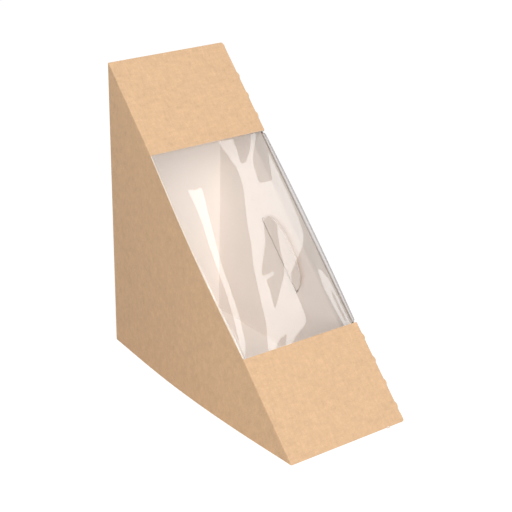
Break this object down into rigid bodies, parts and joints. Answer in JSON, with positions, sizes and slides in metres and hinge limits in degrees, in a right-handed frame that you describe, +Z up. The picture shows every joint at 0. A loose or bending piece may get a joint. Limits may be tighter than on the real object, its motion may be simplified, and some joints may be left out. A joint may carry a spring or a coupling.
{
  "type": "windowed sandwich box",
  "caption": "Wedge-shaped folded kraft board box for sandwich triangles, with a clear film window across its slanted front and a tuck-in closing flap at one side.",
  "frame": {"origin": "on the surface that the box stands on, under the middle of its bounding box", "axes": "+Z up, the slanted front faces -Y, the upright back is at +Y, +X runs across the width towards the closing flap"},
  "size_m": [0.0584, 0.1234, 0.1227],
  "materials": {
    "kraft_board": "matt unbleached kraft outside, pale inside",
    "clear_film": "glossy clear film"
  },
  "bodies": {
    "box": {"carton": "kraft_board", "window_film": "clear_film"},
    "flap": {"closing_flap": "kraft_board"}
  },
  "joints": [
    {"name": "closing_flap_hinge", "type": "hinge", "parent": "box", "child": "flap", "pos_m": [0.02878, 0.06175, 0], "axis": [0, 0, 1], "range_deg": [0, 180]}
  ]
}
